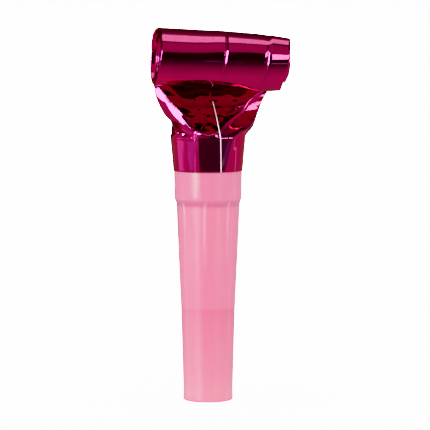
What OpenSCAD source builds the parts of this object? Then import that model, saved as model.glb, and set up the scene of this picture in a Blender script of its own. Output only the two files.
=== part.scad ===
// Party horn blower: a tapered mouthpiece with a reed insert, and a flat foil tube that is
// gathered round its top, flattens into a neck and winds up in a spiral roll.
// Millimetres. Origin at the centre of the mouth rim, +Z up the tube, +X along the roll,
// and the roll lies on the -Y side of the neck.

/* [Mouthpiece] */
// Length of the plastic tube from the mouth rim to the end inside the foil
tube_len = 69.5; // [68:0.5:78]
// Wall of the tube under the step
tube_wall = 1; // [0.8:0.05:1.1]
// Outer diameter at the mouth rim
mouth_d = 13; // [12.6:0.1:14]
// Height where the slim mouth end stops
slim_z = 24; // [22:0.5:27]
// Outer diameter at that height
slim_d = 14.3; // [13.8:0.1:14.8]
// Height of the ribs' lower ends
rib_foot_z = 36; // [30:0.5:42]
// Outer diameter at the ribs' lower ends
rib_foot_d = 15.4; // [15:0.1:15.8]
// Length of the wide end over the step
wide_len = 15.9; // [14:0.1:21]
// Outer diameter just under the step
step_low_d = 16.5; // [16:0.1:17]
// Outer diameter just over the step
step_high_d = 17.7; // [17.3:0.1:18]
// Outer diameter at the end inside the foil
top_d = 18.5; // [18.2:0.1:18.7]
// Length of the slanted face of the step
step_slope = 1.1; // [0.3:0.1:2]
// Number of ribs under the step
rib_count = 8; // [4:1:12]
// Width of a rib
rib_w = 1.2; // [0.8:0.1:2]
// Angle from the front to the first rib, turning to the left
rib_turn_deg = 15.7; // [0:0.1:45]
// Height of a rib over the wall at its lower end
rib_rise_low = 0.12; // [0.05:0.01:0.2]
// Height of a rib over the wall at the step
rib_rise_high = 0.25; // [0.15:0.01:0.4]
// Height of the thicker band round the mouth rim
rim_h = 1.1; // [0.8:0.1:2]
// How far that band stands out
rim_rise = 0.12; // [0.05:0.01:0.3]
// Width of the bevel on the edges of the tube's ends
edge_bevel = 0.25; // [0.1:0.05:0.4]

/* [Reed insert] */
// Depth of the insert's end inside the mouth rim
insert_recess = 0.4; // [0.2:0.1:1]
// Length of the insert's barrel
barrel_len = 24.5; // [22:0.1:26]
// Clearance between the barrel and the tube
barrel_fit = 0.05; // [0.02:0.01:0.1]
// Diameter of the bore at the mouth
mouth_bore_d = 8.8; // [8:0.1:9.2]
// Length of that bore
mouth_bore_len = 6.6; // [5:0.2:8]
// Diameter of the chamber round the reed
chamber_d = 9.6; // [9.3:0.1:10]
// Length of the bulkhead that holds the reed
bulkhead_len = 2.5; // [2:0.1:4]
// Outer diameter of the half-round trough
trough_d = 6.4; // [5.5:0.1:7]
// Wall of the trough
trough_wall = 0.6; // [0.4:0.05:0.9]
// Length of the trough under the bulkhead
trough_reach = 12.6; // [10:0.2:13]
// Clearance round the trough and the wedge in the bulkhead
trough_fit = 0.05; // [0.02:0.01:0.1]
// Thickness of the reed tongue
tongue_t = 0.15; // [0.1:0.01:0.2]
// Width of the reed tongue
tongue_w = 5.6; // [5:0.1:6]
// Length of the tongue's root inside the bulkhead
tongue_root = 2.2; // [1.8:0.1:2.4]
// Gap between the closed tongue and its neighbours at the root
tongue_gap = 0.08; // [0.07:0.01:0.15]
// Angle by which the tongue stands open at rest
tongue_open = 3; // [1:0.5:4]
// How far the wedge stands out above the bulkhead
wedge_head = 0.6; // [0.3:0.1:1]

/* [Foil neck] */
// Wall of the foil
foil_wall = 0.12; // [0.08:0.01:0.14]
// Length of the mouthpiece's end that the foil covers
foil_cover = 8.3; // [6.5:0.1:11.5]
// Outer diameter of the foil at the end of the mouthpiece
collar_top_d = 19.9; // [19.5:0.1:21]
// Length of the flare, from the mouthpiece up to where the neck has become flat
flare_len = 16.5; // [14.5:0.1:17.5]
// How far the front of the neck is drawn in at its middle height
neck_dent = 1.2; // [0:0.1:1.6]
// Half the angle of the front and back panels round the mouthpiece
panel_half_deg = 20; // [10:1:40]
// Thickness of the glue between the foil and the mouthpiece
glue_t = 0.06; // [0.04:0.01:0.1]
// Height of the glue band
glue_h = 4.6; // [3:0.2:7]

/* [Roll] */
// Width of the flat foil tube
strip_w = 34; // [28:0.5:40]
// Thickness of the flat foil tube
strip_t = 0.6; // [0.56:0.02:0.64]
// Height of the roll's centre over the mouthpiece
roll_rise = 20.9; // [20.5:0.1:30.5]
// Outer diameter of the roll
roll_d = 14.2; // [14:0.1:18]
// Distance between two turns
turn_pitch = 1; // [0.92:0.01:1.04]
// Number of sections in one turn
arcs_per_turn = 8; // [8:1:8]
// Number of sections in the roll
arc_count = 36; // [24:1:36]
// Gap between two sections
arc_gap = 0.1; // [0.06:0.01:0.14]
// How far the middle of the roll lies to the right of the mouthpiece
roll_shift = 1.9; // [0:0.1:3]
// Angle by which the roll hangs down at its right end
roll_tilt = 3.3; // [0:0.1:4]
// Length of the folded and sealed tip
tip_len = 2.6; // [1.5:0.1:3]

/* [Retracting spring] */
// Diameter of the spring wire
wire_d = 0.25; // [0.2:0.01:0.26]
// Distance of the wire from the foil's left edge
wire_inset = 8; // [4:0.5:12]

/* [Hidden] */
$fn = 96;
overrun = 0.5;

// Mouthpiece, worked out
mouth_r = mouth_d / 2;
step_z = tube_len - wide_len;
insert_z = insert_recess;
barrel_top = insert_z + barrel_len;
step_rise = (step_high_d - step_low_d) / 2;
low_stations = [[0, mouth_r], [slim_z, slim_d / 2], [rib_foot_z, rib_foot_d / 2], [step_z, step_low_d / 2]];
high_stations = [[step_z, step_high_d / 2], [tube_len, top_d / 2]];
function low_r(z) = lookup(z, low_stations);
function high_r(z) = lookup(z, high_stations);
function bore_r(z) = low_r(z) - tube_wall;

// Reed insert, worked out
bulkhead_z = barrel_top - bulkhead_len;
barrel_knee_z = slim_z < barrel_top ? slim_z : bulkhead_z;
trough_r = trough_d / 2;
trough_foot_z = bulkhead_z - trough_reach;
tongue_mid_y = tongue_gap + tongue_t / 2;
tongue_pivot_z = bulkhead_z + tongue_root / 2;
tongue_slot = 2 * tongue_gap + tongue_t;
tongue_reach = trough_reach + tongue_root;

// Foil neck, worked out
collar_z = tube_len - foil_cover;
flat_z = tube_len + flare_len;
collar_foot_r = high_r(collar_z) + glue_t + foil_wall;
collar_top_r = collar_top_d / 2;
glue_fit = glue_t / 4;
neck_sides = 72;
neck_rings = 8;

// Roll, worked out
roll_r = roll_d / 2;
roll_z = tube_len + roll_rise;
arc_deg = 360 / arcs_per_turn;
arc_step = turn_pitch / arcs_per_turn;
back_y = strip_t / 2;
wire_steps = 5;
wire_sides = 6;

function section_name(i) = str("foil_section_", i < 10 ? "0" : "", i);

// Outer-face radius of section i, counted from 1 at the neck
function arc_r(i) = roll_r - arc_step * (i - 1);

// Centre of section i in the roll's own plane, from the point where the strip leaves the neck:
// each arc starts tangent to the last one, so its centre moves along the shared radius
function arc_centre(i) = i <= 1
    ? [-roll_r, 0]
    : arc_centre(i - 1) + arc_step * [cos(arc_deg * (i - 1)), sin(arc_deg * (i - 1))];

// Point of the spiral at the given depth under the outer face, share along section i
function spiral_point(i, along_share, depth) = arc_centre(i)
    + (arc_r(i) - depth) * [cos(arc_deg * (i - 1 + along_share)), sin(arc_deg * (i - 1 + along_share))];

// Puts the roll's plane upright across the X axis, at the neck's end and tilted with the roll
module roll_place() {
    translate([roll_shift, back_y, roll_z]) rotate([0, roll_tilt, 0]) rotate([90, 0, 90]) children();
}

// Upper and lower outline of the tube wall: outside going up, inside coming down
function tube_outline() = [
    [bore_r(0) + edge_bevel, 0],
    [mouth_r + rim_rise - edge_bevel, 0],
    [mouth_r + rim_rise, edge_bevel],
    [low_r(rim_h) + rim_rise, rim_h],
    [low_r(rim_h + rim_rise), rim_h + rim_rise],
    [slim_d / 2, slim_z],
    [rib_foot_d / 2, rib_foot_z],
    [step_low_d / 2, step_z - step_slope],
    [step_high_d / 2, step_z],
    [top_d / 2, tube_len - edge_bevel],
    [top_d / 2 - edge_bevel, tube_len],
    [top_d / 2 - step_rise - tube_wall, tube_len],
    [step_low_d / 2 - tube_wall, step_z],
    [rib_foot_d / 2 - tube_wall, rib_foot_z],
    [slim_d / 2 - tube_wall, slim_z],
    [bore_r(edge_bevel), edge_bevel]
];

// One thin rib that rises towards the step
module rib() {
    foot = rib_foot_z + rib_rise_high;
    top = step_z - step_slope / 2;
    intersection() {
        rotate_extrude() polygon([
            [low_r(foot) - tube_wall / 2, foot],
            [low_r(foot) + rib_rise_low, foot],
            [low_r(top) + rib_rise_high, top],
            [low_r(top) - tube_wall / 2, top]
        ]);
        translate([0, -rib_w / 2, rib_foot_z]) cube([step_high_d, rib_w, step_z - rib_foot_z]);
    }
}

// The moulded mouthpiece tube with its rim, step and ribs
module mouthpiece_tube() {
    color([0.96, 0.63, 0.73, 0.8]) union() {
        rotate_extrude() polygon(tube_outline());
        for (i = [0 : rib_count - 1]) rotate([0, 0, 270 - rib_turn_deg + 360 / rib_count * i]) rib();
    }
}

// The sleeve that fits the tube's mouth end, with a bore, a chamber and a bulkhead
module reed_barrel() {
    bore_top = insert_z + mouth_bore_len;
    color([0.98, 0.72, 0.8]) difference() {
        rotate_extrude() polygon([
            [0, insert_z],
            [bore_r(insert_z) - barrel_fit, insert_z],
            [bore_r(barrel_knee_z) - barrel_fit, barrel_knee_z],
            [bore_r(barrel_top) - barrel_fit, barrel_top],
            [0, barrel_top]
        ]);
        translate([0, 0, insert_z - overrun]) cylinder(d = mouth_bore_d, h = mouth_bore_len + overrun);
        translate([0, 0, bore_top]) cylinder(d = chamber_d, h = bulkhead_z - bore_top);
        translate([0, 0, bulkhead_z - overrun])
            cylinder(r = trough_r + trough_fit, h = bulkhead_len + 2 * overrun);
    }
}

// A rod with a round lower end, turned about the tube's axis over the given angle
module round_ended_rod(r, foot_z, top_z, angle) {
    rotate([0, 0, 180]) rotate_extrude(angle = angle) union() {
        translate([0, foot_z + r]) square([r, top_z - foot_z - r]);
        intersection() {
            translate([0, foot_z + r]) circle(r = r);
            translate([0, foot_z]) square([r, r]);
        }
    }
}

// The half-round trough, closed at its lower end and open into the tube above
module reed_trough() {
    color([0.97, 0.97, 0.95]) difference() {
        round_ended_rod(trough_r, trough_foot_z, barrel_top, 180);
        round_ended_rod(trough_r - trough_wall, trough_foot_z + trough_wall, barrel_top + overrun, 360);
    }
}

// The springy strip over the trough, standing open by its rest angle
module reed_tongue() {
    color([0.85, 0.88, 0.9]) translate([0, tongue_mid_y, tongue_pivot_z])
        rotate([tongue_open, 0, 0])
        translate([-tongue_w / 2, -tongue_t / 2, tongue_root / 2 - tongue_reach])
        cube([tongue_w, tongue_t, tongue_reach]);
}

// The half-round plug that clamps the tongue's root against the trough
module reed_wedge() {
    wedge_len = bulkhead_len + wedge_head;
    color([0.97, 0.97, 0.95]) intersection() {
        translate([0, 0, bulkhead_z]) cylinder(r = trough_r, h = wedge_len);
        translate([-trough_r, tongue_slot, bulkhead_z]) cube([trough_d, trough_r, wedge_len]);
    }
}

// Inner radius of the foil collar at a height
function collar_inner_r(z) = collar_foot_r - foil_wall
    + (collar_top_r - collar_foot_r) * (z - collar_z) / (tube_len - collar_z);

// The ring of glue between the mouthpiece and the foil
module glue_band() {
    foot = collar_z + glue_fit;
    top = collar_z + glue_h;
    color([0.95, 0.9, 0.8]) rotate_extrude() polygon([
        [high_r(foot) + glue_fit, foot],
        [collar_inner_r(foot) - glue_fit, foot],
        [collar_inner_r(top) - glue_fit, top],
        [high_r(top) + glue_fit, top]
    ]);
}

// Point j of the flat strip's outline, set in by the given amount: two long sides and two round
// folds, where each panel of the collar runs into a long side and the rest gathers into the folds
function flat_point(j, inset) =
    let (
        turn = 360 * j / neck_sides,
        fold_x = strip_w / 2 - strip_t / 2,
        half_t = strip_t / 2 - inset,
        fold_half_deg = 90 - panel_half_deg,
        off_back = turn - 90,
        off_front = turn - 270,
        off_right = turn > 180 ? turn - 360 : turn,
        right_turn = off_right * 90 / fold_half_deg
    )
    abs(off_back) <= panel_half_deg ? [-fold_x * off_back / panel_half_deg, half_t]
    : abs(off_front) <= panel_half_deg ? [fold_x * off_front / panel_half_deg, -half_t]
    : abs(off_right) < fold_half_deg
        ? [fold_x + half_t * cos(right_turn), half_t * sin(right_turn)]
        : [-fold_x - half_t * cos((turn - 180) * 90 / fold_half_deg),
           -half_t * sin((turn - 180) * 90 / fold_half_deg)];

// How far a point of the front panel is drawn in, at a share of the way from round to flat
function dent_at(j, flat_share) =
    let (off_front = (360 * j / neck_sides - 270) / panel_half_deg)
    abs(off_front) >= 1 ? 0 : neck_dent * 4 * flat_share * (1 - flat_share) * (1 - off_front * off_front);

// Point j of the neck at a share of the way from round to flat
function neck_point(j, flat_share, inset) =
    let (
        turn = 360 * j / neck_sides,
        round_pt = (collar_top_r - inset) * [cos(turn), sin(turn)],
        flat_pt = flat_point(j, inset) + [roll_shift, 0],
        p = round_pt * (1 - flat_share) + flat_pt * flat_share
    )
    [p.x, p.y + dent_at(j, flat_share),
     tube_len + (flat_z - tube_len) * flat_share - (p.x - roll_shift) * tan(roll_tilt) * flat_share];

// One ring of the collar, at a height and an outer radius
function collar_ring(z, r, inset) = [for (j = [0 : neck_sides - 1])
    [(r - inset) * cos(360 * j / neck_sides), (r - inset) * sin(360 * j / neck_sides), z]];

// The last ring, at the strip's first bend
function last_ring(inset) = [for (j = [0 : neck_sides - 1])
    let (p = flat_point(j, inset), up = -arc_gap / 2)
    [roll_shift + p.x * cos(roll_tilt) + up * sin(roll_tilt), p.y,
     roll_z - p.x * sin(roll_tilt) + up * cos(roll_tilt)]];

// All rings of one face of the foil, from the collar's edge to the first bend
function neck_face(inset) = concat(
    collar_ring(collar_z, collar_foot_r, inset),
    [for (k = [0 : neck_rings]) for (j = [0 : neck_sides - 1]) neck_point(j, k / neck_rings, inset)],
    last_ring(inset)
);

// The foil from its edge on the mouthpiece, over the flare, to the flat strip
module foil_neck() {
    ring_count = neck_rings + 3;
    face_points = ring_count * neck_sides;
    function at(face, k, j) = face * face_points + k * neck_sides + j % neck_sides;
    walls = [for (k = [0 : ring_count - 2]) for (j = [0 : neck_sides - 1]) each [
        [at(0, k, j), at(0, k + 1, j), at(0, k + 1, j + 1)],
        [at(0, k, j), at(0, k + 1, j + 1), at(0, k, j + 1)],
        [at(1, k, j), at(1, k + 1, j + 1), at(1, k + 1, j)],
        [at(1, k, j), at(1, k, j + 1), at(1, k + 1, j + 1)]
    ]];
    ends = [for (j = [0 : neck_sides - 1]) each [
        [at(0, 0, j), at(0, 0, j + 1), at(1, 0, j + 1)],
        [at(0, 0, j), at(1, 0, j + 1), at(1, 0, j)],
        [at(0, ring_count - 1, j), at(1, ring_count - 1, j + 1), at(0, ring_count - 1, j + 1)],
        [at(0, ring_count - 1, j), at(1, ring_count - 1, j), at(1, ring_count - 1, j + 1)]
    ]];
    color([0.65, 0.02, 0.3]) polyhedron(
        points = concat(neck_face(0), neck_face(foil_wall)),
        faces = concat(walls, ends),
        convexity = 6
    );
}

// One bent length of the flat foil tube, open at both ends
module foil_section(i) {
    gap_deg = arc_gap / arc_r(i) * 180 / PI;
    place = arc_centre(i);
    color([0.72, 0.03, 0.36]) roll_place() translate([place.x, place.y, 0])
        rotate([0, 0, arc_deg * (i - 1) + gap_deg / 2])
        rotate_extrude(angle = arc_deg - gap_deg) translate([arc_r(i) - strip_t / 2, 0]) difference() {
            square([strip_t, strip_w], center = true);
            square([strip_t - 2 * foil_wall, strip_w - strip_t], center = true);
        }
}

// The far end of the foil tube, folded flat and sealed in the middle of the roll
module tip_seal() {
    i = arc_count + 1;
    gap_deg = arc_gap / arc_r(i) * 180 / PI;
    tip_deg = tip_len / arc_r(i) * 180 / PI;
    place = arc_centre(i);
    color([0.6, 0.02, 0.3]) roll_place() translate([place.x, place.y, 0])
        rotate([0, 0, arc_deg * (i - 1) + gap_deg / 2])
        rotate_extrude(angle = tip_deg) translate([arc_r(i) - strip_t / 2, 0])
        square([strip_t, strip_w], center = true);
}

// Middle of the spring wire, from inside the neck to the last section
wire_path = [for (i = [1 : arc_count]) for (k = [0 : wire_steps - 1])
    spiral_point(i, k / wire_steps, strip_t / 2)];
wire_gap = min([for (a = [0 : len(wire_path) - 1]) for (b = [a + 4 * wire_steps : len(wire_path) - 1])
    norm(wire_path[a] - wire_path[b])]) - wire_d;
echo(least_gap_between_turns_of_the_wire = wire_gap);

// The curled wire inside the foil tube that winds it up again
module retract_spring() {
    last = len(wire_path) - 1;
    rings = [for (k = [0 : last])
        let (
            ahead = wire_path[min(k + 1, last)] - wire_path[max(k - 1, 0)],
            side = [ahead.y, -ahead.x] / norm(ahead)
        )
        [for (s = [0 : wire_sides - 1])
            let (turn = 360 * s / wire_sides, p = wire_path[k] + side * wire_d / 2 * cos(turn))
            [p.x, p.y, wire_inset - strip_w / 2 + wire_d / 2 * sin(turn)]]];
    walls = [for (k = [0 : last - 1]) for (s = [0 : wire_sides - 1])
        let (a = k * wire_sides + s, b = k * wire_sides + (s + 1) % wire_sides)
        each [[a, b, b + wire_sides], [a, b + wire_sides, a + wire_sides]]];
    caps = [
        [for (s = [wire_sides - 1 : -1 : 0]) s],
        [for (s = [0 : wire_sides - 1]) last * wire_sides + s]
    ];
    color([0.75, 0.76, 0.78]) roll_place()
        polyhedron(points = [for (ring = rings) each ring], faces = concat(walls, caps), convexity = 20);
}

mouthpiece_tube();
reed_barrel();
reed_trough();
reed_tongue();
reed_wedge();
glue_band();
foil_neck();
retract_spring();
tip_seal();
for (i = [1 : arc_count]) foil_section(i);
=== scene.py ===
"""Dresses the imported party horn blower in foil, plastic and wire, and sets up the studio round it.

Sizes in the dataclasses are millimetres and degrees. Meshes are in metres, in the row frame: origin at
the centre of the mouth rim, +Z up the tube, +X along the roll, and the roll on the -Y side.
"""

import logging
import math
from collections.abc import Iterable, Sequence
from dataclasses import dataclass
from enum import Enum

import bmesh
import bpy
from bmesh.types import BMesh
from bpy.types import Material, Node, NodeSocket, Object
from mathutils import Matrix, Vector, noise
from mathutils.bvhtree import BVHTree


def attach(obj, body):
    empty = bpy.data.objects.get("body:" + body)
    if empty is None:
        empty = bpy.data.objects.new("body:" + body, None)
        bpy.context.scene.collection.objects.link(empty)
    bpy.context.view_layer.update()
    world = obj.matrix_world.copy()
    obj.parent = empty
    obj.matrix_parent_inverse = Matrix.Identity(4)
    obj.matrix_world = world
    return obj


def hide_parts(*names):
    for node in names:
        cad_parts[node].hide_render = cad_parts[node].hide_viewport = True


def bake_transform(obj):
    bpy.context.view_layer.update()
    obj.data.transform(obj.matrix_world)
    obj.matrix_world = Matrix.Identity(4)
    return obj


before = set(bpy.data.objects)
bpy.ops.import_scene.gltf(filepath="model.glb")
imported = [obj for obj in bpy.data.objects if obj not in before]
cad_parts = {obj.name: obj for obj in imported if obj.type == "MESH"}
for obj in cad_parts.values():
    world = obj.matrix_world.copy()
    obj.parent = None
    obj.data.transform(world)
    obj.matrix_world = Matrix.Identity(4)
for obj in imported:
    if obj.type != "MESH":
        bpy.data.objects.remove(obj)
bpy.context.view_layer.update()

Triple = tuple[float, float, float]
Pair = tuple[float, float]
Stations = tuple[Pair, ...]
MM = 0.001
RIB_HIGHLIGHT_MASK = "rib"
WHITE = (1.0, 1.0, 1.0, 1.0)
MIX_FIRST, MIX_SECOND, MIX_RESULT = 6, 7, 2
log = logging.getLogger("party_horn")


class Slot(Enum):
    """Material slot names, which here only tell the kinds of piece apart."""

    TUBE = "pink_plastic"
    FOIL = "foil"
    WIRE = "spring_wire"


def mix(a: float, b: float, share: float) -> float:
    """Goes from a to b as share goes from 0 to 1."""
    return a + (b - a) * share


def ease(low: float, high: float, value: float) -> float:
    """Rises smoothly from 0 at low to 1 at high, and stays there."""
    share = min(max((value - low) / (high - low), 0.0), 1.0)
    return share * share * (3 - 2 * share)


def bump(offset: float, half_width: float) -> float:
    """A round hump, 1 at offset 0 and 0 beyond half_width."""
    return 1 - ease(0, half_width, abs(offset))


def fold(offset: float, half_width: float) -> float:
    """A straight-sided ridge, 1 at offset 0 and 0 beyond half_width."""
    return max(0.0, 1 - abs(offset) / half_width)


def read_off(stations: Sequence[Pair], value: float) -> float:
    """Reads a line of straight runs.

    Args:
        stations: Pairs of position and height, in rising order of position.
        value: Position to read.

    Returns:
        The height there, held level beyond both ends.
    """
    if value <= stations[0][0]:
        return stations[0][1]
    for (x0, y0), (x1, y1) in zip(stations, stations[1:]):
        if value <= x1:
            return mix(y0, y1, (value - x0) / (x1 - x0))
    return stations[-1][1]


def glide(places: Sequence[float], heights: Sequence[float], value: float) -> float:
    """Reads a smooth line through points.

    Args:
        places: Positions of the points, in rising order.
        heights: Their heights.
        value: Position to read.

    Returns:
        The height there, held level beyond both ends.
    """
    if not places[0] < value < places[-1]:
        return heights[0] if value <= places[0] else heights[-1]
    k = max(i for i, place in enumerate(places) if place <= value)
    slopes = []
    for i in (k, k + 1):
        low, high = max(i - 1, 0), min(i + 1, len(places) - 1)
        slopes.append((heights[high] - heights[low]) / (places[high] - places[low]))
    run = places[k + 1] - places[k]
    t = (value - places[k]) / run
    lift = (t - 2 * t * t + t ** 3) * slopes[0] + (t ** 3 - t * t) * slopes[1]
    return mix(heights[k], heights[k + 1], t * t * (3 - 2 * t)) + lift * run


class Wiring:
    """Adds nodes to one node tree and joins their sockets."""

    def __init__(self, tree: bpy.types.NodeTree) -> None:
        """Takes the tree that the nodes go into."""
        self.tree = tree

    def add(self, kind: str, inputs: dict | None = None, **settings: object) -> Node:
        """Adds a node.

        Args:
            kind: Node type, without the word ShaderNode.
            inputs: Socket name or number to a value, or to the socket that feeds it.
            settings: Node attributes to set before the sockets.

        Returns:
            The new node.
        """
        made = self.tree.nodes.new("ShaderNode" + kind)
        for name, value in settings.items():
            setattr(made, name, value)
        for name, value in (inputs or {}).items():
            if isinstance(value, NodeSocket):
                self.tree.links.new(value, made.inputs[name])
            else:
                made.inputs[name].default_value = value
        return made

    def feed(self, kind: str, inputs: dict | None = None, **settings: object) -> NodeSocket:
        """Adds a node in the same way, and returns its first output."""
        return self.add(kind, inputs, **settings).outputs[0]

    def calculate(self, operation: str, *values: object) -> NodeSocket:
        """Adds a Math node and returns its output."""
        return self.feed("Math", dict(enumerate(values)), operation=operation)

    def times(self, value: object, factor: object) -> NodeSocket:
        """Returns the product of two values."""
        return self.calculate("MULTIPLY", value, factor)

    def gap(self, value: NodeSocket, middle: float) -> NodeSocket:
        """Returns how far a value is from the middle."""
        return self.calculate("ABSOLUTE", self.calculate("SUBTRACT", value, middle))

    def window(self, value: NodeSocket, low: float, high: float) -> NodeSocket:
        """Returns a socket that rises smoothly from 0 to 1 as value goes from low to high."""
        return self.feed("MapRange", {"Value": value, 1: low, 2: high}, interpolation_type="SMOOTHSTEP")

    def span(self, share: NodeSocket, low: float, high: float) -> NodeSocket:
        """Returns a socket that goes from low to high as share goes from 0 to 1."""
        return self.feed("MapRange", {"Value": share, 3: low, 4: high})

    def dim(self, value: NodeSocket, mask: NodeSocket, level: float) -> NodeSocket:
        """Returns the value, multiplied by level where the mask is 1."""
        return self.times(value, self.calculate("MULTIPLY_ADD", mask, level - 1, 1.0))

    def scale(self, colour: NodeSocket, factor: NodeSocket) -> NodeSocket:
        """Returns the colour, made brighter or darker."""
        return self.feed("VectorMath", {0: colour, "Scale": factor}, operation="SCALE")

    def blend(self, share: NodeSocket, first: object, second: object) -> NodeSocket:
        """Returns a colour that goes from first to second as share goes from 0 to 1."""
        made = self.add("Mix", {0: share, MIX_FIRST: first, MIX_SECOND: second}, data_type="RGBA")
        return made.outputs[MIX_RESULT]

    def dent(self, height: NodeSocket, depth: float, strength: float) -> NodeSocket:
        """Returns normals dented by a pattern, whose depth is in millimetres."""
        return self.feed("Bump", {"Strength": strength, "Distance": depth * MM, "Height": height})

    def ramp(self, value: NodeSocket, stops: Sequence[tuple]) -> NodeSocket:
        """Adds a colour ramp.

        Args:
            value: Socket that drives the ramp.
            stops: Pairs of position and grey level, or position and colour, in rising order.

        Returns:
            The ramp's colour socket.
        """
        made = self.add("ValToRGB", {"Fac": value})
        points = made.color_ramp.elements
        while len(points) < len(stops):
            points.new(0.5)
        for point, (place, level) in zip(points, stops):
            point.position = place
            colour = (level,) * 3 if isinstance(level, (int, float)) else level
            point.color = (*colour, 1.0)
        return made.outputs[0]


@dataclass(frozen=True)
class SurfacePattern:
    """A pattern that several finishes share: fine relief, and broad soft patches."""

    name: str
    scale: float
    detail: float
    roughness: float
    distortion: float
    patch_scale: float
    patch_limits: Pair
    patch_lift: float
    stretch: Triple = (1.0, 1.0, 1.0)
    patch_detail: float = 2.0

    def build(self) -> bpy.types.NodeTree:
        """Builds the pattern.

        Returns:
            Its shader node group.
        """
        tree = bpy.data.node_groups.new(self.name, "ShaderNodeTree")
        tree.interface.new_socket("Vector", in_out="INPUT", socket_type="NodeSocketVector")
        scale = tree.interface.new_socket("Scale", in_out="INPUT", socket_type="NodeSocketFloat")
        scale.default_value = self.scale
        for label in ("Height", "Patches"):
            tree.interface.new_socket(label, in_out="OUTPUT", socket_type="NodeSocketFloat")
        place, scale = tree.nodes.new("NodeGroupInput").outputs[:2]
        out = tree.nodes.new("NodeGroupOutput")
        w = Wiring(tree)
        fine = w.feed("TexNoise", {"Vector": place, "Scale": scale, "Detail": self.detail,
                                   "Roughness": self.roughness, "Distortion": self.distortion})
        drawn = w.feed("Mapping", {"Vector": place, "Scale": self.stretch})
        broad = w.feed("TexNoise", {"Vector": drawn, "Scale": self.patch_scale,
                                    "Detail": self.patch_detail})
        height = w.calculate("MULTIPLY_ADD", broad, self.patch_lift, fine)
        tree.links.new(height, out.inputs["Height"])
        tree.links.new(w.window(broad, *self.patch_limits), out.inputs["Patches"])
        return tree


CRINKLES = SurfacePattern(
    "film_crinkles", scale=400.0, detail=3.0, roughness=0.55, distortion=0.4,
    patch_scale=120.0, patch_limits=(0.45, 0.75), patch_lift=1.5,
).build()
GRAIN = SurfacePattern(
    "moulded_grain", scale=900.0, detail=4.0, roughness=0.6, distortion=0.0,
    patch_scale=110.0, patch_limits=(0.3, 0.7), patch_lift=0.0, stretch=(1.0, 1.0, 0.25),
).build()


def blank_material(name: str) -> tuple[Material, Wiring, NodeSocket]:
    """Starts a material.

    Args:
        name: Name of the material.

    Returns:
        The material, the wiring of its emptied tree, and its Object coordinates.
    """
    material = bpy.data.materials.new(name)
    material.use_nodes = True
    material.node_tree.nodes.clear()
    w = Wiring(material.node_tree)
    return material, w, w.add("TexCoord").outputs["Object"]


def close_material(w: Wiring, surface: NodeSocket) -> None:
    """Joins the surface shader to the material's output."""
    w.add("OutputMaterial", {"Surface": surface})


@dataclass(frozen=True)
class FilmFinish:
    """Metallised film: dyed metal under a thin clear lacquer."""

    name: str
    colour: Triple
    rubbed_colour: Triple
    glancing: Triple = (0.75, 0.10, 0.30)
    roughness: float = 0.05
    rubbed_roughness: float = 0.10
    lacquer: float = 0.4
    lacquer_roughness: float = 0.03
    crinkle_height: float = 0.005
    crinkle_scale: float = 420.0

    def build(self) -> Material:
        """Wires up the finish.

        Returns:
            The material.
        """
        material, w, place = blank_material(self.name)
        pattern = w.add("Group", node_tree=CRINKLES)
        w.tree.links.new(place, pattern.inputs["Vector"])
        pattern.inputs["Scale"].default_value = self.crinkle_scale
        height, rubbed = pattern.outputs
        close_material(w, w.feed("BsdfPrincipled", {
            "Base Color": w.ramp(rubbed, [(0.0, self.colour), (1.0, self.rubbed_colour)]),
            "Metallic": 1.0, "Roughness": w.span(rubbed, self.roughness, self.rubbed_roughness),
            "Specular Tint": (*self.glancing, 1.0), "Coat Weight": self.lacquer,
            "Coat Roughness": self.lacquer_roughness,
            "Normal": w.dent(height, self.crinkle_height, 1.0),
        }))
        return material


@dataclass(frozen=True)
class MouldedFinish:
    """Milky moulded plastic whose colour may change along the tube's height, with a painted highlight that
    lightens the ribs' crests.
    """

    name: str
    stops: tuple[tuple[float, Triple], ...]
    height: float = 100.0
    roughness: float = 0.13
    cloud_roughness: float = 0.2
    refraction: float = 1.49
    gloss: float = 0.5
    depth: float = 0.25
    scatter: Triple = (1.6, 0.7, 0.9)
    scatter_reach: float = 1.2
    grain_height: float = 0.002
    grain_strength: float = 0.6
    cloudiness: float = 0.04
    rib_painted_highlight: float = 0.0
    rib_highlight_colour: Triple = (1.0, 0.6, 0.72)

    def build(self) -> Material:
        """Wires up the finish.

        Returns:
            The material.
        """
        material, w, place = blank_material(self.name)
        grain, cloud = w.add("Group", {"Vector": place}, node_tree=GRAIN).outputs
        rise = w.times(w.add("SeparateXYZ", {"Vector": place}).outputs["Z"], 1 / (self.height * MM))
        tone = w.ramp(rise, [(z / self.height, colour) for z, colour in self.stops])
        tone = w.scale(tone, w.span(cloud, 1.0, 1 - self.cloudiness))
        # Painted highlight: the ribs' crests are mixed towards a lighter pink.
        if self.rib_painted_highlight:
            rib_highlight_mask = w.add("Attribute", attribute_name=RIB_HIGHLIGHT_MASK).outputs["Fac"]
            tone = w.blend(w.times(rib_highlight_mask, self.rib_painted_highlight), tone, (*self.rib_highlight_colour, 1.0))
        close_material(w, w.feed("BsdfPrincipled", {
            "Base Color": tone, "Roughness": w.span(cloud, self.roughness, self.cloud_roughness),
            "IOR": self.refraction, "Specular IOR Level": self.gloss, "Subsurface Weight": self.depth,
            "Subsurface Radius": self.scatter, "Subsurface Scale": self.scatter_reach * MM,
            "Normal": w.dent(grain, self.grain_height, self.grain_strength),
        }))
        return material


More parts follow.
